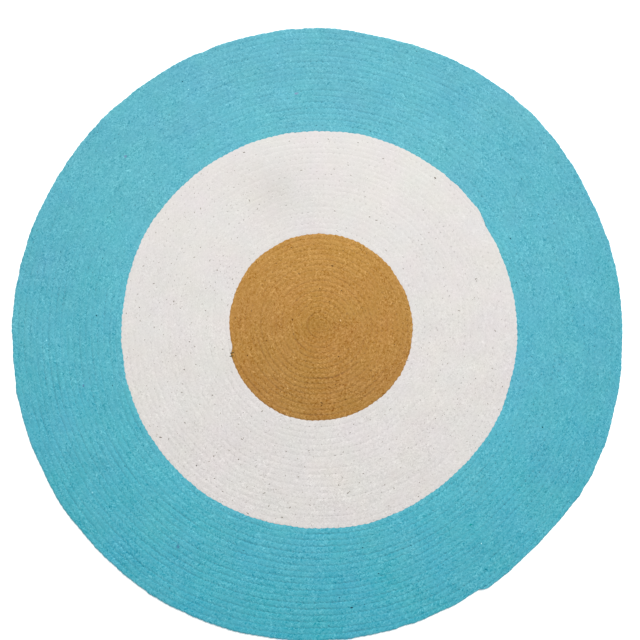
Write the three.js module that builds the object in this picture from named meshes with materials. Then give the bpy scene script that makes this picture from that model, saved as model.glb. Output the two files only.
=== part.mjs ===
// Round rug of plaited cotton cord. One cord in three colours is wound flat from the centre,
// clockwise seen from above, and each turn is sewn to the one inside it. Each colour is a length
// of cord of its own, so the rug is three flat coils, nested: a disc, a ring round it, and a ring
// round that. Each coil is drawn here as one solid of its wound form; its turns lie edge to edge
// and leave no room between them.
//
// Millimetres, +Z up. The rug lies flat with its underside on Z = 0 and the centre of the coil
// at the origin. Directions are degrees anticlockwise from +X, seen from above.
import * as THREE from "three";

// ---- driving dimensions ----

const THICKNESS = 8; // of the cord as it lies, and so of the rug
const COIL_GAP = 0.32; // between one colour and the next
const START_AT = 159; // direction in which the cord sets off from the centre
const STATION_STEP = 4; // degrees between sections
const SQUEEZE_SPAN = 0.08; // share of a turn over which a cord narrows toward its end

// The three lengths of cord, from the centre out.
// mean_radius: of the coil's outer edge. whole_turns and end_at: it makes that many whole turns,
// and then goes on to the direction end_at. taper: length over which its end is drawn down and
// sewn in. squeeze: share of the cord's width lost on each side of the end.
const COILS = [
  {
    name: "centre_coil",
    color: 0xb78748,
    mean_radius: 137.1,
    whole_turns: 17,
    end_at: -165,
    taper: 12,
    squeeze: 0.18,
  },
  {
    name: "middle_coil",
    color: 0xe2deda,
    mean_radius: 292.4,
    whole_turns: 18,
    end_at: 33.5,
    taper: 28,
    squeeze: 0.27,
  },
  {
    name: "outer_coil",
    color: 0x5cb3c4,
    mean_radius: 450,
    whole_turns: 18,
    end_at: -58,
    taper: 12,
    squeeze: 0.18,
  },
];

// The rug is sewn by hand, so no edge is a true spiral. A row gives, for one direction, how far
// each coil's outer edge lies outside (+) or inside (-) the even one.
const HAND_WOUND = [
  // at, centre, middle, outer
  [0, -0.2, 2.2, -3.0],
  [15, -0.5, 1.2, -2.3],
  [30, -0.5, -0.6, -1.6],
  [45, 0.7, -1.0, 2.6],
  [60, 1.4, -1.9, 1.5],
  [75, 2.6, -1.6, -1.8],
  [90, 2.8, -2.3, 1.6],
  [105, 3.5, -1.8, 0.8],
  [120, 3.0, -2.4, -0.1],
  [135, 2.4, -2.5, -0.9],
  [150, 1.0, -1.6, -1.2],
  [165, 0.2, -3.7, 0.2],
  [180, -1.1, -3.1, 1.7],
  [195, -3.0, -1.0, 3.6],
  [210, -2.9, 0.8, 5.5],
  [225, -2.2, 1.3, 7.4],
  [240, -0.9, 2.1, 8.7],
  [255, -1.6, 1.0, 8.1],
  [270, -2.3, 1.6, 5.8],
  [285, -2.1, 2.8, 3.0],
  [300, -2.0, 1.3, -0.9],
  [315, -1.5, 1.1, -5.0],
  [330, -0.8, 2.9, 0.2],
  [345, -0.5, 2.7, -2.0],
].map(([at, centre, middle, outer]) => ({ at, edges: [centre, middle, outer] }));

// Half sections, from the underside to the top: how far in from the edge, and how high.
// The rim of the rug is the round side of its last turn. Where two colours meet, the two turns
// press flat against each other and only their corners are round.
const RIM = [
  { inset: 2.4, z: 0 },
  { inset: 0.8, z: 0.125 * THICKNESS },
  { inset: 0, z: 0.4 * THICKNESS },
  { inset: 0, z: 0.6 * THICKNESS },
  { inset: 0.8, z: 0.875 * THICKNESS },
  { inset: 2.4, z: THICKNESS },
];
const SEAM = [
  { inset: 0.9, z: 0 },
  { inset: 0, z: 0.2 * THICKNESS },
  { inset: 0, z: 0.8 * THICKNESS },
  { inset: 0.9, z: THICKNESS },
];

// ---- the wound edges ----

const wrap = (deg) => ((deg % 360) + 360) % 360;
const degrees = (radians) => (radians * 180) / Math.PI;
const radians = (deg) => (deg * Math.PI) / 180;

// The turns in each coil, and the pitch that they give it.
COILS.forEach((coil, i) => {
  const before = COILS[i - 1];
  const from = before ? before.end_at : START_AT;
  coil.turns = coil.whole_turns + wrap(from - coil.end_at) / 360;
  coil.pitch = (coil.mean_radius - (before ? before.mean_radius : 0)) / coil.turns;
});

// A smooth closed curve through the HAND_WOUND column of coil i.
function handWound(i, deg) {
  const n = HAND_WOUND.length,
    x = (wrap(deg) * n) / 360,
    k = Math.floor(x),
    u = x - k;
  const [a, b, c, d] = [-1, 0, 1, 2].map((j) => HAND_WOUND[(k + j + n) % n].edges[i]);
  return (
    b + 0.5 * u * (c - a + u * (2 * a - 5 * b + 4 * c - d + u * (3 * (b - c) + d - a)))
  );
}

// The outer edge of coil i without its end: it draws in by one pitch in a turn, seen
// anticlockwise from the end of the cord, and the cord is narrower near that end.
function spiralEdge(i, deg) {
  const { mean_radius, pitch, end_at, squeeze } = COILS[i];
  const gone = wrap(deg - end_at) / 360;
  const before = Math.max(0, 1 - gone / SQUEEZE_SPAN),
    after = Math.max(0, 1 - (1 - gone) / SQUEEZE_SPAN);
  return mean_radius + pitch * (0.5 - gone - squeeze * (before - after)) + handWound(i, deg);
}

// Half the angle that the end of coil i takes.
const halfEnd = (i) => degrees(COILS[i].taper / 2 / COILS[i].mean_radius);

// The outer edge of coil i: across the end of its cord it runs straight from one turn to the next.
function edgeRadius(i, deg) {
  const { end_at } = COILS[i],
    half = halfEnd(i),
    from_end = wrap(deg - end_at + 180) - 180;
  if (Math.abs(from_end) >= half - 1e-9) return spiralEdge(i, deg);
  const low = spiralEdge(i, end_at - half),
    high = spiralEdge(i, end_at + half);
  return low + ((high - low) * (from_end + half)) / (2 * half);
}

// The directions of the sections: even steps, and both sides of each cord's end.
const ends = COILS.flatMap((coil, i) => [
  wrap(coil.end_at - halfEnd(i)),
  wrap(coil.end_at + halfEnd(i)),
]);
const even = Array.from({ length: 360 / STATION_STEP }, (_, k) => k * STATION_STEP).filter(
  (deg) => ends.every((end) => Math.abs(wrap(deg - end + 180) - 180) > STATION_STEP / 3),
);
const STATIONS = [...even, ...ends].sort((a, b) => a - b);

// ---- the coils ----

// A closed ring, or a disc where there is no coil inside it: its section at each station runs up
// the outer edge and down the inner one, and the sections are joined all round.
function coilGeometry(i) {
  const last = i === COILS.length - 1,
    disc = i === 0;
  const outer = last ? RIM : SEAM;
  const section = (deg) => {
    const out = edgeRadius(i, deg) - (last ? 0 : COIL_GAP / 2);
    const up = outer.map(({ inset, z }) => [out - inset, z]);
    if (disc) return up;
    const inn = edgeRadius(i - 1, deg) + COIL_GAP / 2;
    return [...up, ...SEAM.map(({ inset, z }) => [inn + inset, z]).reverse()];
  };
  const positions = [],
    index = [],
    m = section(0).length,
    n = STATIONS.length;
  for (const deg of STATIONS)
    for (const [r, z] of section(deg))
      positions.push(r * Math.cos(radians(deg)), r * Math.sin(radians(deg)), z);
  for (let k = 0; k < n; k++) {
    const a = k * m,
      b = ((k + 1) % n) * m;
    for (let j = 0; j < (disc ? m - 1 : m); j++) {
      const j2 = (j + 1) % m;
      index.push(a + j, b + j, b + j2, a + j, b + j2, a + j2);
    }
  }
  if (disc) {
    const bottom = n * m,
      top = bottom + 1;
    positions.push(0, 0, 0, 0, 0, THICKNESS);
    for (let k = 0; k < n; k++) {
      const a = k * m,
        b = ((k + 1) % n) * m;
      index.push(bottom, b, a, top, a + m - 1, b + m - 1);
    }
  }
  const geometry = new THREE.BufferGeometry();
  geometry.setAttribute("position", new THREE.Float32BufferAttribute(positions, 3));
  geometry.setIndex(index);
  geometry.computeVertexNormals();
  return geometry;
}

// ---- the rug ----

const rug = new THREE.Group();
rug.name = "rug";
COILS.forEach((coil, i) => {
  const material = new THREE.MeshStandardMaterial({
    color: coil.color,
    roughness: 0.95,
    metalness: 0,
  });
  const mesh = new THREE.Mesh(coilGeometry(i), material);
  mesh.name = coil.name;
  rug.add(mesh);
});

export default rug;
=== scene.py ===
import math

import bpy
import numpy as np
from mathutils import Matrix, Vector


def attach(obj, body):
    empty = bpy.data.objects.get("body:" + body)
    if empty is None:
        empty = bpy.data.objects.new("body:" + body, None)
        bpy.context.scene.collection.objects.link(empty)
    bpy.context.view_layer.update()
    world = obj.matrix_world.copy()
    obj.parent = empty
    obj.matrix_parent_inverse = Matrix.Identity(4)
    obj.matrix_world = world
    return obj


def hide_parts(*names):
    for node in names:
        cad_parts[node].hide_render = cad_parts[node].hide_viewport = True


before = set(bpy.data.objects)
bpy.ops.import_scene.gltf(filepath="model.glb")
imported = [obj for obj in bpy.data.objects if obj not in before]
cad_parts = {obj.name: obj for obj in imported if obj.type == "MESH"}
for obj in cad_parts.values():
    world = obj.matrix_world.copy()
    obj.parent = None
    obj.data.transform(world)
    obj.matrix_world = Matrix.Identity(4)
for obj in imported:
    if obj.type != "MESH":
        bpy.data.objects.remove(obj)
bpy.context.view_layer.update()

# A round rug of plaited cotton cord, wound flat from the centre and sewn turn to turn. The cord is
# modelled as it is: one closed plait for each run of cord, its lobes staggered left and right of
# a zigzag middle, each turn pressed against the next. Metres, +Z up, underside at Z = 0.
#
# A place on the rug is given by rho, the number of turns out from the centre (whole and part), and
# by deg, its direction anticlockwise from +X. The cord at turn t lies in the direction
# START_AT - 360 t, between rho = t - 0.5 and rho = t + 0.5.

MM = 0.001
THICKNESS = 8 * MM
START_AT = 159
SQUEEZE_SPAN = 0.08

COILS = [
    dict(name="centre", node="centre_coil", slot="mustard_cotton", mean_radius=137.1 * MM, whole_turns=17, end_at=-165, taper=16 * MM, squeeze=0.18, lobe=8.3 * MM, runs=1, relief=1.15, uneven=0.02, slack=0.22, tilt=0.16, scallop=0.11, rgb=(196, 148, 84)),
    dict(name="middle", node="middle_coil", slot="off_white_cotton", mean_radius=292.4 * MM, whole_turns=18, end_at=33.5, taper=40 * MM, squeeze=0.25, lobe=8.8 * MM, runs=2, relief=0.30, uneven=0.0, slack=0.0, tilt=0.12, scallop=0.10, rgb=(232, 229, 226)),
    dict(name="outer", node="outer_coil", slot="turquoise_cotton", mean_radius=450.0 * MM, whole_turns=18, end_at=-58, taper=16 * MM, squeeze=0.18, lobe=9.0 * MM, runs=3, relief=0.91, uneven=0.09, slack=0.15, tilt=0.10, scallop=0.11, rgb=(110, 194, 210)),
]

# How far each coil's outer edge lies outside (+) or inside (-) an even spiral, in mm, every 15 degrees.
HAND_WOUND = np.array([
    # centre, middle, outer
    [-0.2, 2.2, -3.0], [-0.5, 1.2, -2.3], [-0.5, -0.6, -1.6], [0.7, -1.0, 2.6],
    [1.4, -1.9, 1.5], [2.6, -1.6, -1.8], [2.8, -2.3, 1.6], [3.5, -1.8, 0.8],
    [3.0, -2.4, -0.1], [2.4, -2.5, -0.9], [1.0, -1.6, -1.2], [0.2, -3.7, 0.2],
    [-1.1, -3.1, 1.7], [-3.0, -1.0, 3.6], [-2.9, 0.8, 5.5], [-2.2, 1.3, 7.4],
    [-0.9, 2.1, 8.7], [-1.6, 1.0, 8.1], [-2.3, 1.6, 5.8], [-2.1, 2.8, 3.0],
    [-2.0, 1.3, -0.9], [-1.5, 1.1, -5.0], [-0.8, 2.9, 0.2], [-0.5, 2.7, -2.0],
]) * MM

before = START_AT
turn = 0.0
inner = 0.0
for coil in COILS:
    turns = coil["whole_turns"] + ((before - coil["end_at"]) % 360) / 360
    coil["from"], coil["to"] = turn, turn + turns
    coil["pitch"] = (coil["mean_radius"] - inner) / turns
    turn, inner, before = coil["to"], coil["mean_radius"], coil["end_at"]
ENDS = [coil["to"] for coil in COILS]  # in turns
KNOTS = np.array([0.0] + ENDS)
RADII = np.array([0.0] + [coil["mean_radius"] for coil in COILS])


# ---- seeded unevenness ----

def smooth_noise(seed, shape):
    """A function of two coordinates, in cells, periodic over shape: smooth, mean 0, about -1 to 1."""
    table = np.random.RandomState(seed).uniform(-1, 1, shape)

    def read(x, y):
        x, y = np.broadcast_arrays(np.asarray(x, float), np.asarray(y, float))
        i, j = np.floor(x).astype(int), np.floor(y).astype(int)
        u, v = x - i, y - j
        u, v = u * u * (3 - 2 * u), v * v * (3 - 2 * v)
        a, b = shape
        at = lambda p, q: table[(i + p) % a, (j + q) % b]
        return (at(0, 0) * (1 - u) + at(1, 0) * u) * (1 - v) + (at(0, 1) * (1 - u) + at(1, 1) * u) * v

    return read


WANDER = smooth_noise(11, (60, 60))
WAVER = smooth_noise(14, (140, 140))
SWELL = smooth_noise(12, (40, 40))
RIPPLE = smooth_noise(13, (160, 160))
SINK = smooth_noise(15, (8192, 4))
LUMPS = smooth_noise(16, (512, 4))
TENSION = smooth_noise(17, (8192, 4))


# ---- the spiral ----

def hand_wound(deg):
    """The three columns of HAND_WOUND at each direction, as a smooth closed curve."""
    n = len(HAND_WOUND)
    x = np.mod(deg, 360) * n / 360
    k = np.floor(x).astype(int)
    u = (x - k)[..., None]
    a, b, c, d = (HAND_WOUND[(k + j) % n] for j in (-1, 0, 1, 2))
    return b + 0.5 * u * (c - a + u * (2 * a - 5 * b + 4 * c - d + u * (3 * (b - c) + d - a)))


def radius(rho, deg):
    """The distance from the centre of the place rho, deg."""
    rho, deg = np.broadcast_arrays(np.asarray(rho, float), np.asarray(deg, float))
    r = np.interp(rho, KNOTS, RADII) + np.maximum(rho - KNOTS[-1], 0) * COILS[-1]["pitch"]
    e = hand_wound(deg)
    columns = np.concatenate([np.zeros(e.shape[:-1] + (1,)), e], -1)
    i = np.clip(np.searchsorted(KNOTS, rho, side="right") - 1, 0, 2)
    part = np.clip((rho - KNOTS[i]) / (KNOTS[i + 1] - KNOTS[i]), 0, 1)
    lo = np.take_along_axis(columns, i[..., None], -1)[..., 0]
    hi = np.take_along_axis(columns, i[..., None] + 1, -1)[..., 0]
    r = r + lo * (1 - part) + hi * part
    for coil in COILS:  # the cord is narrower near each end
        off = np.mod(deg - coil["end_at"] + 180, 360) - 180
        near = np.clip(1 - np.abs(off) / (360 * SQUEEZE_SPAN), 0, 1)
        x = rho - coil["to"]
        r = r - 2 * coil["squeeze"] * coil["pitch"] * near * x * np.exp(-(x * x - 0.25) / 4.5)
    x, y = r * np.cos(np.radians(deg)), r * np.sin(np.radians(deg))
    off = WANDER(x / 0.024 + 30, y / 0.024 + 30) * 0.55 * MM + WAVER(x / 0.0098 + 70, y / 0.0098 + 70) * 0.42 * MM * (1 + 0.9 * x)
    return r + off * np.clip(rho / 3, 0, 1)


def xy(rho, deg):
    """x and y of the place rho, deg. A rho below 0 lies across the centre."""
    r, a = radius(np.maximum(rho, 0), deg) + np.minimum(rho, 0) * COILS[0]["pitch"], np.radians(deg)
    return r * np.cos(a), r * np.sin(a)


RHO = np.linspace(0, ENDS[-1] + 2, 6001)
ALONG = np.concatenate([[0], np.cumsum(2 * math.pi * np.interp((RHO[1:] + RHO[:-1]) / 2, KNOTS, RADII) * np.diff(RHO))])


def seam_length(rho):
    """How far along the spiral seam between two turns the place rho is."""
    return np.interp(rho, RHO, ALONG)


def half_end(coil):
    """Half the turn that the tapered end of this coil takes."""
    return coil["taper"] / 2 / coil["mean_radius"] / (2 * math.pi)


def edges(c, t):
    """rho of the inner and the outer edge of coil c's cord at turn t."""
    inner, outer = t - 0.5, t + 0.5
    h = half_end(COILS[c])
    x = np.clip((t - COILS[c]["to"] + h) / (2 * h), 0, 1)
    x = x * x * (3 - 2 * x)
    outer = outer * (1 - x) + inner * x
    if c:
        h = half_end(COILS[c - 1])
        x = np.clip((t - COILS[c - 1]["to"] + h) / (2 * h), 0, 1)
        x = x * x * (3 - 2 * x)
        inner = (t + 0.5) * (1 - x) + inner * x
    return np.maximum(inner, 0.02), np.maximum(outer, 0.04)


# ---- the plait ----

# Across the cord, from the middle to one side: how far out (share of the half width), the height
# over the middle of a lobe and over the crease between two lobes (mm), both where another turn
# presses against that side and where the side is free, at the rim, how far the row is carried
# back along the cord (share of LEAN), and how far it is drawn to the crease (share of a lobe).
ACROSS = [
    # out, lobe, crease, free lobe, free crease, lean, draw
    (0.00, 7.74, 7.74, 7.74, 7.74, 0.00, 0.00),
    (0.17, 7.93, 7.66, 7.93, 7.66, 0.22, 0.05),
    (0.43, 7.90, 7.56, 7.90, 7.50, 0.55, 0.10),
    (0.69, 7.58, 7.26, 7.45, 7.00, 0.82, 0.10),
    (0.88, 7.32, 7.06, 6.40, 5.90, 0.96, 0.08),
    (1.00, 7.24, 6.98, 4.50, 4.10, 1.00, 0.05),
]
# The underside, from the side to the middle: how far out, height at a lobe and at a crease.
BELOW = [(1.02, 4.60, 4.80), (0.50, 0.0, 0.50)]
LEAN = 3.4 * MM  # how far the strands run back along the cord between its middle and its side
ZIGZAG = 0.14  # how far the middle line swings, in half widths
RISE = [0.0, 0.70, 1.0, 0.70]  # a lobe's height at its four rows: crease, side, crest, side
DRAWN = [0.0, -1.0, 0.0, 1.0]


def rows_of(c):
    """The rows of coil c, four to a lobe: the turn t of each, and its phase 0 to 3."""
    coil = COILS[c]
    t0 = -0.48 if c == 0 else COILS[c - 1]["to"] - half_end(COILS[c - 1])
    t1 = coil["to"] + half_end(coil)
    t = np.linspace(t0, t1, 40001)
    inner, outer = edges(c, t)
    mid = radius((inner + outer) / 2, START_AT - 360 * t)
    if c == 0:
        mid = np.hypot(mid, 6 * MM)  # the plait is tighter round the centre
    s = np.concatenate([[0], np.cumsum(2 * math.pi * (mid[1:] + mid[:-1]) / 2 * np.diff(t))])
    lobes = int(round(s[-1] / coil["lobe"]))
    k = np.arange(4 * lobes + 1)
    pace = smooth_noise(30 + c, (512, 1))(k / 90.0, 0)  # the plait is looser here and tighter there
    at = k + 2.4 * (pace - pace[0]) * np.sqrt(np.clip(np.sin(math.pi * k / k[-1]), 0, 1))
    at = np.maximum.accumulate(at) / at[-1] * s[-1]
    return np.interp(at, s, t), k % 4, s[-1]


def make_coil(c):
    """The vertices of coil c's cord (rows, RING, 3), where each lies on its strand (rows, RING, 2), the tone of its lobe, the cord's length and the turn of each row."""
    coil = COILS[c]
    t, phase, length = rows_of(c)
    n = len(t)
    k = np.arange(n)
    rng = np.random.RandomState(50 + c)
    lobe_left = k // 4
    lobe_right = (k + 2) // 4
    plump = rng.normal(0, 1, (2, n // 4 + 3))
    tone = rng.normal(0, 1, (2, n // 4 + 3))
    inner, outer = edges(c, t)
    mid_r = np.maximum(radius((inner + outer) / 2, START_AT - 360 * t), 12 * MM)
    per_lobe = length / (n // 4)
    rise, drawn = np.array(RISE), np.array(DRAWN)

    # the outer side of the last turn is free
    free = np.clip((t - (ENDS[-1] - 1 - 0.006)) / 0.012, 0, 1) if c == 2 else np.zeros(n)
    sides = [(-row[0], row, 0) for row in reversed(ACROSS[1:])] + [(0.0, ACROSS[0], 0)] + [(row[0], row, 1) for row in ACROSS[1:]]
    points, strand, tones = [], [], []

    def add(u, lean, draw, high, crease, side, under=False):
        ph = (phase + (2 if side else 0)) % 4
        lobe = lobe_right if side else lobe_left
        up = rise[ph]
        fat = plump[side][lobe]
        back = -lean * LEAN + draw * per_lobe * drawn[ph]
        tt = t + back / (2 * math.pi * mid_r)
        tt = np.clip(tt, t[0], t[-1])
        lo, hi = edges(c, tt)
        out = np.abs(u)
        if np.all(u == 0):
            uu = ZIGZAG * (rise[phase] - rise[(phase + 2) % 4])
        else:
            scallop = coil["scallop"] * (1 - (0.5 * free if side else 0))
            uu = out if under else out + scallop * (2 * up - 0.8 + 0.3 * fat) * out * out
            if side and c == 2:  # the rim is lumpy
                s = tt * 2 * math.pi * coil["mean_radius"]
                uu = uu + free * out * out * (0.20 * LUMPS(s / 0.024, 0.4) + 0.16 * LUMPS(s / 0.0115, 2.6))
            if not side and c == 0:  # the cord starts against itself, with no hole in the middle
                first = np.clip((t - 0.4) / 0.8, 0, 1)
                uu = uu * first + 1.1 * out * (1 - first)
            uu = np.sign(u) * uu
        # the cord that shows at the rim, or meets its own end, keeps its scallop; inside a tapered end it goes with the width
        rho = (lo + hi) / 2 + uu * (hi - lo) / 2
        wide = np.clip(hi - lo, 0, 1)
        deg = START_AT - 360 * tt
        x, y = xy(rho, deg)
        z = crease + (high - crease) * up * (1 + (0 if under else 0.22) * fat)
        if not under:
            s = seam_length(hi if side else lo)
            # the thread is pulled harder here and there, and not alike all round
            pull = (1 + 0.6 * TENSION(s / 0.048, 0.5)) * (1 - 0.06 * np.cos(np.radians(deg - 45)) + coil["uneven"] * np.cos(np.radians(4 * deg)))
            pull = pull * (1 - coil["slack"] * np.maximum(np.cos(np.radians(deg - 60)), 0))
            relief = coil["relief"] * pull
            relief = relief + (1 - relief) * (free if side else 0)
            z = 7.74 + (z - 7.74) * relief + coil["tilt"] * u
        z = z * MM
        if not under:
            z = z + SWELL(x / 0.05 + 20, y / 0.05 + 20) * 0.10 * MM + RIPPLE(x / 0.011 + 80, y / 0.011 + 80) * 0.08 * MM
            # the seam between two turns is drawn in here and there
            seam = np.interp(out, [0.45, 0.8, 1.0], [0.0, 0.55, 1.0])
            sink = 0.85 * SINK(s / 0.026, 0.5) + 0.55 * SINK(s / 0.0085, 2.5) + 0.12
            z = z - seam * np.maximum(sink, 0) * 0.75 * MM * relief
            z = z * (0.5 + 0.5 * np.sqrt(np.clip(2.5 * wide, 0, 1)))
            z = np.minimum(z, THICKNESS + 0.35 * MM)
        points.append(np.stack([x, y, z], -1))
        half = coil["pitch"] / 2
        strand.append(np.stack([k / 4 * per_lobe, np.full(n, half * (2 - out if under else out))], -1))
        tones.append(tone[side][lobe] if np.any(u) else (tone[0][lobe_left] + tone[1][lobe_right]) / 2)

    for u, (out, high, crease, free_high, free_crease, lean, draw), side in sides:
        e = free if side else 0
        add(u, lean, draw, high + (free_high - high) * e, crease + (free_crease - crease) * e, side)
    for out, at_lobe, at_crease in BELOW:  # at the rim the side is round
        lower = free * (2.2 if out > 1 else 0)
        add(out + free * (0 if out > 1 else 0.24), out, 0.0, at_lobe - lower, at_crease - lower, 1, under=True)
    for out, at_lobe, at_crease in reversed(BELOW):
        add(-out, out, 0.0, at_lobe, at_crease, 0, under=True)
    return np.stack(points, 1), np.stack(strand, 1), np.stack(tones, 1), length, t


TOP = 2 * len(ACROSS) - 1  # points over the cord; those under it come after
RING = TOP + 2 * len(BELOW)
MIDDLE = len(ACROSS) - 1


def run_faces(rows):
    """Faces of a run of so many rows, closed at both ends, as lists of vertex numbers. Under the cord only every other row counts."""
    k = np.arange(rows - 1)
    quads = []
    for j in range(TOP - 1):
        a = k * RING + j
        quads.append(np.stack([a, a + RING, a + RING + 1, a + 1], -1))
    even = np.arange(0, rows - 2, 2) * RING
    for j in range(TOP, RING - 1):
        a = even + j
        b = a + 2 * RING
        quads.append(np.stack([a, b, b + 1, a + 1], -1))
    quads = np.concatenate(quads)
    tris = []
    for edge, low, flip in ((TOP - 1, TOP, False), (0, RING - 1, True)):
        e0, e1, e2 = even + edge, even + RING + edge, even + 2 * RING + edge
        b0, b2 = even + low, even + 2 * RING + low
        for tri in ((e0, e1, b0), (e1, b2, b0), (e1, e2, b2)):
            tri = np.stack(tri, -1)
            tris.append(tri[:, ::-1] if flip else tri)
    tris = np.concatenate(tris)
    caps = [list(range(RING)), list(reversed(range((rows - 1) * RING, rows * RING)))]
    return quads, tris, caps


def bake_map(loops, face, quads, tris, faces, rows):
    """A flat map of a run of cord for baked colours: strips laid one over the other in the unit square."""
    row, column = loops // RING, loops % RING
    half = [row[0] for row in ACROSS]
    steps = [b - a for a, b in zip(half, half[1:])]
    steps = steps[::-1] + steps + [0.13] + [0.11] * (2 * len(BELOW) - 1) + [0.13]
    place = np.concatenate([[0], np.cumsum(steps)]) / sum(steps)
    strips = max(1, int(round(math.sqrt(0.78 * rows * 2.15 / 9))))
    per = 2 * math.ceil((rows - 1) / 2 / strips)
    strips = math.ceil((rows - 1) / per)
    # a side triangle that closes the ring has its upper corners past the last column
    closing = (face >= quads) & (face < quads + tris) & (column == 0)
    across = place[np.where(closing, RING, column)]
    first = np.full(faces, 1 << 30)
    np.minimum.at(first, face, row)
    strip = np.minimum(first[face] // per, strips - 1)
    pixel = 1 / 1024
    high = (1 - 16 * pixel) / strips
    u = 2 * pixel + (row - strip * per) / per * (1 - 4 * pixel)
    v = strip * high + pixel + across * (high - 2 * pixel)
    cap = face >= quads + tris
    turn = 2 * math.pi * column / RING
    u = np.where(cap, 0.3 + 0.3 * (face - quads - tris) + 0.005 * np.cos(turn), u)
    v = np.where(cap, 1 - 7.5 * pixel + 0.005 * np.sin(turn), v)
    return np.stack([u, v], -1)


def mesh_from(name, points, strand, tones, pressed):
    """A piece of cord as an object: rows of RING points each. Up to row pressed its right side is against the next turn."""
    quads, tris, caps = run_faces(len(points))
    points, strand, tones = points.reshape(-1, 3), strand.reshape(-1, 2), tones.reshape(-1)
    loops = np.concatenate([quads.ravel(), tris.ravel(), *[np.array(cap) for cap in caps]])
    sizes = np.concatenate([np.full(len(quads), 4), np.full(len(tris), 3), [len(cap) for cap in caps]])
    face = np.repeat(np.arange(len(sizes)), sizes)
    # a face lies on the left or the right of the plait, and the two are told apart by where they are on the strand map
    column = loops % RING
    sided = np.where(column == MIDDLE, 0, np.where((column > MIDDLE) & (column < TOP + len(BELOW)), 1, -1))
    total = np.bincount(face, sided, len(sizes))
    right = np.where(total > 0, 1.0, 0.0)[face]
    uv = strand[loops] + right[:, None] * np.array([3.7, 0.0])
    bake = bake_map(loops, face, len(quads), len(tris), len(sizes), len(points) // RING)
    used = np.unique(loops)
    renumber = np.full(len(points), -1)
    renumber[used] = np.arange(len(used))
    loops = renumber[loops].astype(np.int32)
    me = bpy.data.meshes.new(name)
    me.vertices.add(len(used))
    me.vertices.foreach_set("co", points[used].astype(np.float32).ravel())
    me.loops.add(len(loops))
    me.polygons.add(len(sizes))
    me.polygons.foreach_set("loop_start", np.concatenate([[0], np.cumsum(sizes)[:-1]]).astype(np.int32))
    me.loops.foreach_set("vertex_index", loops)
    me.update(calc_edges=True)
    me.shade_smooth()
    # the top and the side that is pressed against the next turn are shaded apart
    ends = np.empty(len(me.edges) * 2, np.int32)
    me.edges.foreach_get("vertices", ends)
    against = used[ends].reshape(-1, 2) // RING <= pressed
    ends = used[ends].reshape(-1, 2) % RING
    sharp = me.attributes.new("sharp_edge", "BOOLEAN", "EDGE")
    sharp.data.foreach_set("value", (ends == 0).all(1) | ((ends == TOP - 1) & against).all(1))
    layer = me.uv_layers.new(name="Strand")
    layer.uv.foreach_set("vector", uv.astype(np.float32).ravel())
    layer = me.uv_layers.new(name="OFBake")
    layer.uv.foreach_set("vector", bake.astype(np.float32).ravel())
    attribute = me.attributes.new("tone", "FLOAT", "POINT")
    attribute.data.foreach_set("value", tones[used].astype(np.float32))
    ob = bpy.data.objects.new(name, me)
    bpy.context.scene.collection.objects.link(ob)
    return ob


# ---- materials ----

def linear(v):
    """Linear light of an 8-bit colour value."""
    v = v / 255
    return ((v + 0.055) / 1.055) ** 2.4 if v > 0.04045 else v / 12.92


def slope(v):
    """How much linear light one step of an 8-bit colour value is worth."""
    return linear(v + 0.5) - linear(v - 0.5)


class Nodes:
    """Short ways to add and join shader nodes."""

    def __init__(self, name):
        self.material = bpy.data.materials.new(name)
        self.material.use_nodes = True
        self.tree = self.material.node_tree
        self.shader = self.tree.nodes["Principled BSDF"]

    def put(self, kind, sockets=None, **settings):
        node = self.tree.nodes.new(kind)
        for key, value in settings.items():
            setattr(node, key, value)
        for key, value in (sockets or {}).items():
            if isinstance(value, bpy.types.NodeSocket):
                self.tree.links.new(value, node.inputs[key])
            else:
                node.inputs[key].default_value = value
        return node

    def math(self, operation, *values, clamp=False):
        return self.put("ShaderNodeMath", dict(enumerate(values)), operation=operation, use_clamp=clamp).outputs[0]

    def vector(self, operation, *values):
        return self.put("ShaderNodeVectorMath", dict(enumerate(values)), operation=operation).outputs[0]

    def noise(self, vector, detail=2.0, rough=0.5, dimensions="3D", scale=1.0):
        """Smooth noise between about 0.2 and 0.8, one cell a unit."""
        node = self.put("ShaderNodeTexNoise", {"Vector": vector, "Scale": scale, "Detail": detail, "Roughness": rough}, noise_dimensions=dimensions)
        return node.outputs["Fac"]


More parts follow.
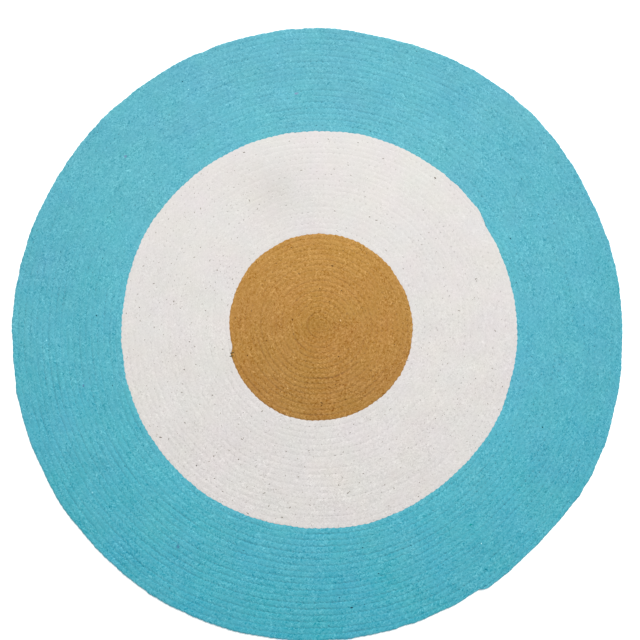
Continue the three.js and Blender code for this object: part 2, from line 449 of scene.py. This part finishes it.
def cotton(name, rgb, grain, lobes, cloud, dye, painted_sheen_and_tone_toward_y, painted_shade_outward, balance, patch, calmer):
    """Matt plaited cotton. rgb is its colour, 8-bit. grain, lobes, cloud and dye are how much it varies, in
    steps of 8-bit colour, from yarn to yarn, from lobe to lobe, over a centimetre or two and over
    several. painted_sheen_and_tone_toward_y is how much linear light is painted on with each metre toward +Y: on the
    off-white and the turquoise a painted sheen from the side of the light, while the mustard simply grows lighter
    toward +Y. outward is how many steps of 8-bit colour it gains with each metre from the rug's middle,
    counted from 0.37 m: painted shade, the light falling off toward the rim.
    balance is how much of the variation each of red, green and blue takes. patch is a darker place:
    its middle, its half sizes, its turn and how many steps darker it is. calmer is the share by which
    the colour varies less with each metre toward +Y."""
    n = Nodes(name)
    uv = n.put("ShaderNodeUVMap", uv_map="Strand").outputs[0]
    place = n.put("ShaderNodeTexCoord").outputs["Object"]
    # along the strand the yarns run in Y of the map, and lie side by side in X
    yarn = n.noise(n.vector("MULTIPLY", uv, (1 / 0.0024, 1 / 0.0030, 0)), 2.0, 0.75, "2D")
    fibre = n.noise(n.vector("MULTIPLY", uv, (1 / 0.00028, 1 / 0.0022, 0)), 2.0, 0.6, "2D")
    drift = n.noise(place, 1.0, 0.5, "3D", scale=1 / 0.016)
    tone = n.put("ShaderNodeAttribute", attribute_name="tone").outputs["Fac"]
    # a few yarns stand out more than most
    off = n.math("SUBTRACT", yarn, 0.5)
    off = n.math("MULTIPLY", off, n.math("MULTIPLY_ADD", n.math("MULTIPLY", off, off), 6.0, 0.75))
    vary = n.math("MULTIPLY", off, grain * 9)
    vary = n.math("MULTIPLY_ADD", n.math("SUBTRACT", fibre, 0.5), grain * 4, vary)
    vary = n.math("MULTIPLY_ADD", tone, lobes, vary)
    # the speckle is stronger in some places than in others
    vary = n.math("MULTIPLY", vary, n.math("MULTIPLY_ADD", drift, 1.9, 0.05))
    north = n.put("ShaderNodeSeparateXYZ", {0: place}).outputs[1]
    vary = n.math("MULTIPLY", vary, n.math("MULTIPLY_ADD", north, -calmer, 1.0))
    vary = n.math("MULTIPLY_ADD", n.math("SUBTRACT", drift, 0.5), cloud * 7, vary)
    # painted shade: the colour grows darker with distance from the middle, as the light falls off toward the rim
    out = n.put("ShaderNodeVectorMath", {0: n.vector("MULTIPLY", place, (1, 1, 0))}, operation="LENGTH").outputs["Value"]
    vary = n.math("MULTIPLY_ADD", n.math("SUBTRACT", out, 0.37), painted_shade_outward, vary)
    px, py, half_x, half_y, turn, darker = patch
    from_middle = n.vector("SUBTRACT", place, (px, py, 0))
    across = n.put("ShaderNodeVectorMath", {0: from_middle, 1: (math.cos(turn) / half_x, math.sin(turn) / half_x, 0)}, operation="DOT_PRODUCT").outputs["Value"]
    down = n.put("ShaderNodeVectorMath", {0: from_middle, 1: (-math.sin(turn) / half_y, math.cos(turn) / half_y, 0)}, operation="DOT_PRODUCT").outputs["Value"]
    far = n.math("MULTIPLY_ADD", across, across, n.math("MULTIPLY", down, down))
    vary = n.math("MULTIPLY_ADD", n.math("POWER", math.e, n.math("MULTIPLY", far, -0.5)), -darker, vary)
    each = n.put("ShaderNodeCombineXYZ", {0: vary, 1: vary, 2: vary}).outputs[0]
    # the dye bath did not take evenly, and not alike in every colour
    bath = n.put("ShaderNodeTexNoise", {"Vector": place, "Scale": 1 / 0.06, "Detail": 2.0, "Roughness": 0.6}, noise_dimensions="3D")
    bath_all = n.math("MULTIPLY", n.math("SUBTRACT", n.noise(n.vector("ADD", place, (0.7, 0.3, 0)), 2.0, 0.6, "3D", scale=1 / 0.055), 0.5), dye * 7)
    each = n.vector("ADD", each, n.put("ShaderNodeCombineXYZ", {0: bath_all, 1: bath_all, 2: bath_all}).outputs[0])
    each = n.vector("MULTIPLY_ADD", n.vector("SUBTRACT", bath.outputs["Color"], (0.5, 0.5, 0.5)), (dye * 7, dye * 7, dye * 7), each)
    # painted sheen: the colour is made lighter toward +Y, on the side of the light; on the mustard it only grows
    # lighter toward +Y
    norths = n.put("ShaderNodeCombineXYZ", {0: north, 1: north, 2: north}).outputs[0]
    colour = n.vector("MULTIPLY_ADD", norths, painted_sheen_and_tone_toward_y, tuple(linear(v) for v in rgb))
    colour = n.vector("MULTIPLY_ADD", each, tuple(slope(v) * share for v, share in zip(rgb, balance)), colour)
    colour = n.vector("MAXIMUM", colour, (0.004, 0.004, 0.004))
    n.tree.links.new(colour, n.shader.inputs["Base Color"])
    n.shader.inputs["Roughness"].default_value = 0.92
    n.shader.inputs["Specular IOR Level"].default_value = 0.2
    n.shader.inputs["Sheen Weight"].default_value = 0.12
    n.shader.inputs["Sheen Roughness"].default_value = 0.5
    # the yarns stand up a little from each other, and the fibres from the yarns
    x = n.put("ShaderNodeSeparateXYZ", {0: uv})
    wavy = n.math("MULTIPLY_ADD", yarn, 0.0006, x.outputs[0])
    ridge = n.math("ABSOLUTE", n.math("SINE", n.math("MULTIPLY", wavy, math.pi / 0.0011)))
    high = n.math("MULTIPLY_ADD", fibre, 0.9, n.math("MULTIPLY", ridge, 0.5))
    bump = n.put("ShaderNodeBump", {"Height": high, "Strength": 0.5, "Distance": 0.00018})
    n.tree.links.new(bump.outputs[0], n.shader.inputs["Normal"])
    return n.material


def plain(name, colour):
    n = Nodes(name)
    n.shader.inputs["Base Color"].default_value = (*colour, 1)
    n.shader.inputs["Roughness"].default_value = 0.9
    n.shader.inputs["Specular IOR Level"].default_value = 0.1
    return n.material


MATERIALS = {
    "mustard_cotton": cotton("mustard_cotton", (185, 137, 71), 13.4, 2.6, 0.2, 1.3, (0.39, 0.23, 0.06), 0.0, (0.94, 1.0, 1.1), (0, 0, 0.019, 0.019, 0, 7.6), 0.0),
    "off_white_cotton": cotton("off_white_cotton", (226, 222, 219), 4.8, 1.2, 0.25, 1.0, (0.055, 0.055, 0.055), 0.0, (1.0, 1.0, 1.0), (-0.0635, 0.204, 0.039, 0.029, -0.58, 8.6), 1.5),
    "turquoise_cotton": cotton("turquoise_cotton", (93, 181.5, 198.5), 10.8, 2.3, 0.2, 1.6, (0.066, 0.03, 0.02), -27.0, (1.16, 0.98, 0.9), (-0.35, 0.08, 0.03, 0.05, 0, 1.0), 0.1),
}

# ---- the rug ----

TOPS = []  # the top of each coil's cord, for what lies on it

for c, coil in enumerate(COILS):
    points, strand, tones, length, turns = make_coil(c)
    n = len(points)
    TOPS.append(points[:, :TOP])
    cuts = [int(round(x / 4)) * 4 for x in np.linspace(0, n - 1, coil["runs"] + 1)]
    for i, (a, b) in enumerate(zip(cuts, cuts[1:])):
        name = coil["name"] + "_cord" + ("_%d" % (i + 1) if coil["runs"] > 1 else "")
        pressed = n if c < 2 else np.searchsorted(turns, coil["to"] - 1) - a
        ob = mesh_from(name, points[a : b + 1], strand[a : b + 1], tones[a : b + 1], pressed)
        ob.data.materials.append(MATERIALS[coil["slot"]])
        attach(ob, "root")
        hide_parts(coil["node"])

# The cord's first few millimetres are turned under, and fill the middle.
rings = [(0.0, 7.1), (1.3, 7.0), (2.7, 6.5), (3.3, 5.6), (3.3, 1.4), (2.2, 0.5), (0.0, 0.5)]
core_points = [(0, 0, rings[0][1] * MM)] + [(r * MM * math.cos(a), r * MM * math.sin(a), z * MM) for r, z in rings[1:-1] for a in np.arange(16) * math.pi / 8] + [(0, 0, rings[-1][1] * MM)]
core_faces = [(0, 1 + i, 1 + (i + 1) % 16) for i in range(16)]
for j in range(len(rings) - 3):
    core_faces += [(1 + 16 * j + i, 17 + 16 * j + i, 17 + 16 * j + (i + 1) % 16, 1 + 16 * j + (i + 1) % 16) for i in range(16)]
core_faces += [(len(core_points) - 1, len(core_points) - 17 + (i + 1) % 16, len(core_points) - 17 + i) for i in range(16)]
core = bpy.data.objects.new("centre_start", bpy.data.meshes.new("centre_start"))
core.data.from_pydata(core_points, [], core_faces)
core.data.shade_smooth()
layer = core.data.uv_layers.new(name="Strand")
for loop in core.data.loops:
    layer.uv[loop.index].vector = core_points[loop.vertex_index][:2]
core.data.materials.append(MATERIALS["mustard_cotton"])
bpy.context.scene.collection.objects.link(core)
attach(core, "root")

# ---- what lies on the cord: seed specks, slubs, stray fibres, and the stitches at the mustard end ----

# A ball of twenty triangles with a corner at each end of X.
FIFTHS = np.arange(5) * 2 * math.pi / 5
RING_X, RING_R = 1 / 5**0.5, 2 / 5**0.5
ICO = np.array(
    [(1, 0, 0)]
    + [(RING_X, RING_R * math.cos(a), RING_R * math.sin(a)) for a in FIFTHS]
    + [(-RING_X, RING_R * math.cos(a + math.pi / 5), RING_R * math.sin(a + math.pi / 5)) for a in FIFTHS]
    + [(-1, 0, 0)]
)
ICO_FACES = []
for i in range(5):
    a0, a1, b0, b1 = 1 + i, 1 + (i + 1) % 5, 6 + i, 6 + (i + 1) % 5
    ICO_FACES += [(0, a0, a1), (a0, b0, a1), (b0, b1, a1), (11, b1, b0)]


def finer(points, faces):
    """A ball with each triangle cut in four."""
    points, new, middle = [np.array(point) for point in points], [], {}

    def between(i, j):
        key = (min(i, j), max(i, j))
        if key not in middle:
            point = points[i] + points[j]
            middle[key] = len(points)
            points.append(point / np.linalg.norm(point))
        return middle[key]

    for i, j, k in faces:
        p, q, r = between(i, j), between(j, k), between(k, i)
        new += [(i, p, r), (p, j, q), (r, q, k), (p, q, r)]
    return np.array(points), new


BALL, BALL_FACES = finer(ICO, ICO_FACES)


class Bits:
    """Many small closed things joined in one mesh."""

    def __init__(self):
        self.points, self.faces, self.tints, self.uv = [], [], [], []

    def take(self, points, faces, tint, uv):
        first = len(self.points)
        self.points += [tuple(point) for point in points]
        self.faces += [tuple(first + i for i in face) for face in faces]
        self.tints += [tint] * len(points)
        self.uv += uv

    def speck(self, rng, at, turn, half, tint, facing, fine=False):
        """An uneven grain, pointed at both ends and lying on the surface: half its length, width and height, turned by so much about Z."""
        ball, faces = (BALL, BALL_FACES) if fine else (ICO, ICO_FACES)
        lumpy = (ball @ rng.normal(0, 1, (3, 2))).prod(1) * 0.16  # smooth over the ball
        ball = ball * np.clip(1 + lumpy, 0.7, 1.25)[:, None]
        ball = ball * np.stack([np.ones(len(ball)), 1.12 - 0.5 * ball[:, 0] ** 2, np.ones(len(ball))], -1) * np.array(half)
        x = ball[:, 0] * math.cos(turn) - ball[:, 1] * math.sin(turn)
        y = ball[:, 0] * math.sin(turn) + ball[:, 1] * math.cos(turn)
        points = np.stack([x, y, ball[:, 2] - (facing[0] * x + facing[1] * y) / facing[2]], -1) + at
        self.take(points, faces, tint, [(a, b) for a, b in ball[:, :2]])

    def hair(self, path, thick, tint, sides=3):
        """A fibre or thread along a path, thinner toward its ends."""
        path = np.array(path)
        n = len(path)
        along = np.gradient(path, axis=0)
        along /= np.linalg.norm(along, axis=1, keepdims=True)
        flat = np.stack([-along[:, 1], along[:, 0], np.zeros(n)], -1)
        flat /= np.maximum(np.linalg.norm(flat, axis=1, keepdims=True), 1e-9)
        third = np.cross(along, flat)
        points, uv = [], []
        for i in range(n):
            wide = thick / 2 * (0.45 + 0.55 * math.sin(math.pi * (i + 0.5) / n))
            for j in range(sides):
                a = 2 * math.pi * j / sides
                points.append(path[i] + wide * (math.cos(a) * flat[i] + math.sin(a) * third[i]))
                uv.append((0.001 * j, 0.001 * i))
        faces = [tuple(reversed(range(sides))), tuple(range((n - 1) * sides, n * sides))]
        for i in range(n - 1):
            for j in range(sides):
                a, b = i * sides + j, i * sides + (j + 1) % sides
                faces.append((a, b, b + sides, a + sides))
        self.take(points, faces, tint, uv)

    def make(self, name, material, slot):
        me = bpy.data.meshes.new(name)
        me.from_pydata(self.points, [], self.faces)
        me.shade_smooth()
        layer = me.uv_layers.new(name="Strand")
        loops = np.empty(len(me.loops), np.int32)
        me.loops.foreach_get("vertex_index", loops)
        layer.uv.foreach_set("vector", np.array(self.uv, np.float32)[loops].ravel())
        tint = me.attributes.new("tint", "FLOAT_COLOR", "POINT")
        colours = [[*(linear(v) for v in rgb), 1.0] for rgb in self.tints]
        tint.data.foreach_set("color", np.array(colours, np.float32).ravel())
        ob = bpy.data.objects.new(name, me)
        bpy.context.scene.collection.objects.link(ob)
        ob.data.materials.append(material)
        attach(ob, "root")
        return ob


def tinted(name):
    """Matt fibre in the colour that each bit carries, blotchy."""
    n = Nodes(name)
    tint = n.put("ShaderNodeAttribute", attribute_name="tint").outputs["Color"]
    place = n.put("ShaderNodeTexCoord").outputs["Object"]
    blotch = n.math("MULTIPLY_ADD", n.noise(place, 2.0, 0.6, "3D", scale=1 / 0.0007), 0.9, 0.55)
    n.tree.links.new(n.put("ShaderNodeVectorMath", {0: tint, "Scale": blotch}, operation="SCALE").outputs[0], n.shader.inputs["Base Color"])
    n.shader.inputs["Roughness"].default_value = 0.85
    n.shader.inputs["Specular IOR Level"].default_value = 0.25
    bump = n.put("ShaderNodeBump", {"Height": n.noise(place, 1.0, 0.5, "3D", scale=1 / 0.0004), "Strength": 0.5, "Distance": 0.0001})
    n.tree.links.new(bump.outputs[0], n.shader.inputs["Normal"])
    return n.material


def facing(c, k, j):
    """Which way the top of coil c's cord faces between rows k and k + 1 and columns j and j + 1."""
    top = TOPS[c]
    normal = np.cross(top[k + 1, j + 1] - top[k, j], top[k, j + 1] - top[k + 1, j])
    normal = normal / np.linalg.norm(normal) * (1 if normal[2] > 0 else -1)
    return normal if normal[2] > 0.5 else np.array([0.0, 0.0, 1.0])


def on_cord(c, rng):
    """A place on top of coil c's cord, the direction of the cord there and which way it faces."""
    top = TOPS[c]
    k, j = rng.randint(0, len(top) - 1), rng.randint(1, TOP - 2)
    u, v = rng.uniform(0, 1, 2)
    at = (top[k, j] * (1 - u) + top[k + 1, j] * u) * (1 - v) + (top[k, j + 1] * (1 - u) + top[k + 1, j + 1] * u) * v
    run = top[k + 1, j] - top[k, j]
    return at, math.atan2(run[1], run[0]), facing(c, k, j)


def nearest(c, x, y):
    """The place on top of coil c's cord at x, y."""
    top = TOPS[c].reshape(-1, 3)
    return np.array([x, y, top[np.argmin(np.hypot(top[:, 0] - x, top[:, 1] - y)), 2]])


def facing_at(c, x, y):
    """Which way the top of coil c's cord faces at x, y."""
    k, j = divmod(int(np.argmin(np.hypot(TOPS[c][..., 0] - x, TOPS[c][..., 1] - y))), TOP)
    return facing(c, min(k, len(TOPS[c]) - 2), min(j, TOP - 2))


# Grains that stand out in the photograph: x, y (mm), half length and half width (mm), colour.
MARKS = [
    [
        (-40.2, 10.9, 1.5, 0.9, (112, 68, 16)), (-41.7, 117.8, 0.9, 0.6, (96, 62, 20)), (14.4, 37.5, 1.0, 0.6, (104, 68, 24)),
        (32.1, 53.9, 1.0, 0.6, (108, 72, 28)), (27.4, -43.6, 1.1, 0.7, (100, 62, 20)), (-0.4, 56.8, 1.1, 0.6, (110, 72, 26)),
        (22.9, -84.6, 1.1, 0.6, (100, 62, 20)), (-106.1, -42.0, 1.1, 0.7, (100, 62, 20)), (109.9, -26.0, 1.3, 0.7, (112, 72, 28)),
        (2.3, -115.2, 1.2, 0.7, (108, 70, 28)), (30.5, 9.5, 1.5, 0.9, (246, 206, 146)), (29.3, 108.9, 1.2, 0.75, (226, 182, 118)),
        (-47.4, -90.3, 1.2, 0.8, (236, 196, 132)), (-40.1, -84.5, 1.2, 0.8, (238, 198, 134)),
    ],
    [
        (-179.3, -201.6, 1.2, 0.8, (92, 86, 80)), (-210.6, -41.9, 0.9, 0.6, (110, 100, 92)), (-264.6, 28.6, 1.0, 0.6, (112, 104, 94)),
        (-197.9, -62.4, 0.9, 0.6, (120, 112, 104)), (-153.2, -220.3, 0.9, 0.6, (116, 108, 98)), (223.4, -159.4, 0.9, 0.6, (112, 104, 96)),
        (144.9, -227.2, 0.9, 0.55, (116, 108, 100)), (183.6, 88.2, 0.9, 0.55, (118, 112, 104)), (169.3, -134.5, 0.8, 0.5, (120, 112, 102)),
        (228.9, -76.1, 0.8, 0.5, (120, 112, 102)), (172.6, 222.8, 1.7, 0.8, (104, 90, 78)), (-118.5, -193.1, 0.9, 0.6, (112, 102, 92)),
        (-167.9, 24.2, 0.9, 0.6, (122, 112, 102)),
    ],
    [
        (27.7, -391.1, 1.4, 0.8, (8, 96, 116)), (218.9, -288.4, 2.0, 1.2, (2, 158, 158)), (326.6, -147.6, 1.4, 0.9, (10, 92, 100)),
        (284.1, 131.8, 1.4, 0.9, (28, 88, 106)), (331.9, -179.0, 1.1, 0.7, (34, 104, 124)), (326.7, 168.1, 1.3, 0.8, (20, 92, 112)),
        (-204.7, 367.8, 1.3, 0.8, (24, 96, 114)), (61.3, -320.1, 1.2, 0.8, (14, 92, 110)), (257.3, -246.4, 1.2, 0.8, (14, 92, 110)),
        (-327.2, 16.8, 1.2, 0.8, (16, 92, 108)), (-302.4, -85.5, 1.2, 0.8, (16, 92, 108)), (84.3, -357.2, 1.2, 0.8, (14, 90, 110)),
        (63.8, -401.1, 1.2, 0.7, (10, 90, 110)), (305.0, 216.4, 1.5, 0.9, (10, 160, 164)), (286.1, 251.2, 1.4, 0.8, (16, 148, 150)),
        (234.4, -315.3, 1.5, 0.9, (196, 250, 255)), (-328.9, -239.7, 1.4, 0.9, (160, 236, 250)), (-399.2, -19.8, 1.3, 0.8, (156, 236, 250)),
        (-195.7, 355.6, 1.2, 0.8, (170, 242, 252)),
    ],
]
# Fibres of another dye, twisted in with the turquoise: x, y (mm), reach (mm), spread (mm), how many
# and how thick (mm), and colour. The first is a tight knot.
STRANGERS = [
    (45.0, -405.6, 1.3, 0.42, 14, 0.60, 0.5, (10, 30, 58)),
    (-288.0, 253.5, 2.0, 0.9, 12, 0.40, 0.5, (134, 164, 200)),
    (-345.0, -86.0, 1.8, 0.7, 10, 0.40, 0.5, (98, 142, 180)),
    (-34.3, 350.6, 4.4, 0.8, 12, 0.40, 0.2, (144, 174, 206)),
    (-205.3, -317.5, 2.3, 1.0, 14, 0.40, 0.5, (88, 142, 178)),
]
# How many grains at random, their colours from and to, and how many stray fibres and slubs.
SPECKS = [(44, (92, 60, 20), (144, 101, 46), 130, 60), (1200, (132, 124, 113), (194, 187, 178), 330, 170), (90, (22, 84, 102), (52, 138, 156), 420, 200)]

grain = tinted("seed_and_slub")
for c, coil in enumerate(COILS):
    rng = np.random.RandomState(80 + c)
    many, dark, pale, hairs, slubs = SPECKS[c]
    specks, fibres = Bits(), Bits()
    for x, y, a, b, tint in MARKS[c]:
        turn = math.atan2(y, x) + math.pi / 2 + rng.normal(0, 0.4)
        specks.speck(rng, nearest(c, x * MM, y * MM) + (0, 0, 0.06 * MM), turn, (a * MM, b * MM, 0.30 * MM), tint, facing_at(c, x * MM, y * MM), True)
    for _ in range(many):
        at, turn, faces = on_cord(c, rng)
        if c == 1 and rng.uniform(0, 1) < 0.46 + 0.7 * at[0] + 1.3 * at[1]:  # there are more of them toward -X and -Y
            continue
        mix = rng.uniform(0, 1)
        tint = tuple(p * (1 - mix) + q * mix for p, q in zip(dark, pale))
        half = min(0.62 + 0.38 * rng.exponential(), 1.9) * MM
        specks.speck(rng, at + (0, 0, 0.04 * MM), turn + rng.normal(0, 0.7), (half, half * rng.uniform(0.28, 0.5), 0.17 * MM), tint, faces)
    for _ in range(slubs):  # short lengths of yarn that have worked out of the plait
        at, turn, _ = on_cord(c, rng)
        turn = turn + rng.normal(0, 0.9)
        reach, bend = rng.uniform(0.9, 2.0) * MM, rng.normal(0, 0.5) * MM
        path = [at + (math.cos(turn) * reach * w - math.sin(turn) * bend * w * w, math.sin(turn) * reach * w + math.cos(turn) * bend * w * w, 0.35 * MM * (1 - w * w) - 0.12 * MM) for w in np.linspace(-1, 1, 6)]
        thick, paler = rng.uniform(0.4, 0.7) * MM, rng.uniform(4, 26, 3).mean()
        fibres.hair(path, thick, tuple(min(v + paler, 244) for v in coil["rgb"]), 5)
    if c == 2:
        for x, y, longest, spread, strands, thick, stray, tint in STRANGERS:
            for _ in range(strands):
                at = nearest(c, x * MM, y * MM) + (*rng.normal(0, spread * MM, 2), 0.1 * MM)
                turn = math.atan2(y, x) + math.pi / 2 + rng.normal(0, stray)
                reach, bend = rng.uniform(0.6, 1.1) * longest * MM, rng.normal(0, 0.4) * MM
                path = [at + (math.cos(turn) * reach * w - math.sin(turn) * bend * w * w, math.sin(turn) * reach * w + math.cos(turn) * bend * w * w, 0.25 * MM * (1 - w * w) - 0.15 * MM) for w in np.linspace(-1, 1, 7)]
                specks.hair(path, thick * MM, tint, 5)
    if c == 0:  # the end of the mustard cord is whipped down with two stitches of dark thread, and a little frayed
        for x, y in ((-128.7, -38.2), (-129.4, -42.7)):
            ways = np.linspace(-1, 1, 13)
            path = [np.array([(x + 3.2 * w) * MM, (y + 0.3 * math.sin(3 * w)) * MM, 0]) for w in ways]
            highs = np.array([max(nearest(0, *at[:2])[2], nearest(1, *at[:2])[2]) for at in path])
            highs = np.convolve(np.pad(highs, 2, "edge"), np.ones(5) / 5, "valid")
            for ply in range(3):  # three plies of thread, twisted
                twist = [2.2 * w + 2 * math.pi * ply / 3 for w in ways]
                strand = [at + (0, 0.42 * MM * math.sin(a), high - at[2] + (0.42 - 1.0 * w**6 + 0.22 * math.cos(a)) * MM) for at, high, w, a in zip(path, highs, ways, twist)]
                specks.hair(strand, 0.78 * MM, (96, 88, 54), 6)
        for i in range(16):
            at = np.array([-129.0, -40.6, 0]) * MM + (*rng.normal(0, 1.1 * MM, 2), 0)
            at[2] = nearest(1, at[0], at[1])[2] + 0.1 * MM
            turn, reach, bend = rng.uniform(2.4, 4.4), rng.uniform(1.2, 2.6) * MM, rng.normal(0, 0.7) * MM
            path = [at + (math.cos(turn) * reach * w - math.sin(turn) * bend * w * w, math.sin(turn) * reach * w + math.cos(turn) * bend * w * w, 0.5 * MM * math.sin(2.4 * w)) for w in np.linspace(0, 1, 6)]
            fibres.hair(path, 0.34 * MM, (150, 130, 80), 4)
    for i in range(hairs):
        at, turn, _ = on_cord(c, rng)
        turn = turn + rng.normal(0, 1.0)
        reach, bend, lift = rng.uniform(2.0, 6.5) * MM, rng.normal(0, 1.6) * MM, rng.uniform(0.1, 0.7) * MM
        path = [at + (math.cos(turn) * reach * w - math.sin(turn) * bend * w * w, math.sin(turn) * reach * w + math.cos(turn) * bend * w * w, lift * math.sin(math.pi * (0.1 + 0.8 * w)) - 0.12 * MM) for w in np.linspace(0, 1, 7)]
        fibres.hair(path, 0.09 * MM, coil["rgb"], 3)
    if c == 2:  # the rim is a little fuzzy
        for i in range(260):
            k = rng.randint(int(len(TOPS[2]) * (1 - 1 / (coil["to"] - coil["from"]))), len(TOPS[2]) - 4)
            at = TOPS[2][k, TOP - 1] + (0, 0, rng.uniform(-1.5, 0.8) * MM)
            turn = math.atan2(at[1], at[0]) + rng.normal(0, 0.9)
            at = at - (math.cos(turn) * 0.6 * MM, math.sin(turn) * 0.6 * MM, 0)
            reach, bend, lift = rng.uniform(1.2, 3.6) * MM, rng.normal(0, 1.1) * MM, rng.normal(0, 0.5) * MM
            path = [at + (math.cos(turn) * reach * w - math.sin(turn) * bend * w * w, math.sin(turn) * reach * w + math.cos(turn) * bend * w * w, lift * w * w) for w in np.linspace(0, 1, 6)]
            fibres.hair(path, 0.10 * MM, coil["rgb"], 3)
    specks.make(coil["name"] + "_specks", grain, coil["slot"])
    fibres.make(coil["name"] + "_fibres", grain, coil["slot"])

# ---- camera, floor and light ----

CAMERA = dict(pitch=4.25, roll=-1.30, aim=(0.3 * MM, 10.2 * MM), distance=1398.6 * MM, f=950)
floor = bpy.data.objects.new("floor", bpy.data.meshes.new("floor"))
floor.data.from_pydata([(-30, -30, -0.0003), (30, -30, -0.0003), (30, 30, -0.0003), (-30, 30, -0.0003)], [], [(0, 1, 2, 3)])
bpy.context.scene.collection.objects.link(floor)
floor.data.materials.append(plain("floor_paint", (0.95, 0.95, 0.95)))
floor.data.materials[0].node_tree.nodes["Principled BSDF"].inputs["Emission Color"].default_value = (1, 1, 1, 1)
floor.data.materials[0].node_tree.nodes["Principled BSDF"].inputs["Emission Strength"].default_value = 0.38

cam = bpy.data.objects.new("camera", bpy.data.cameras.new("camera"))
bpy.context.scene.collection.objects.link(cam)
a, b = math.radians(CAMERA["pitch"]), math.radians(CAMERA["roll"])
turned = Matrix.Rotation(a, 3, "X") @ Matrix.Rotation(b, 3, "Y")
aim = Vector((*CAMERA["aim"], 7.5 * MM))
cam.matrix_world = Matrix.Translation(aim + turned @ Vector((0, 0, CAMERA["distance"]))) @ turned.to_4x4()
cam.data.sensor_width = 36
cam.data.lens = CAMERA["f"] / 640 * 36
cam.data.clip_start, cam.data.clip_end = 0.05, 100
bpy.context.scene.camera = cam

key = bpy.data.objects.new("key", bpy.data.lights.new("key", "AREA"))
key.data.shape, key.data.size = "DISK", 1.36
key.data.energy = 156.0
key.location = (0.4, 1.5, 4.0)
key.rotation_euler = (Vector((0, -0.1, 0)) - key.location).to_track_quat("-Z", "Y").to_euler()
bpy.context.scene.collection.objects.link(key)
world = bpy.data.worlds.new("studio")
bpy.context.scene.world = world
world.use_nodes = True
world.node_tree.nodes["Background"].inputs["Color"].default_value = (1, 1, 1, 1)
world.node_tree.nodes["Background"].inputs["Strength"].default_value = 0.24
bpy.context.scene.view_settings.view_transform = "Standard"
bpy.context.scene.view_settings.look = "None"
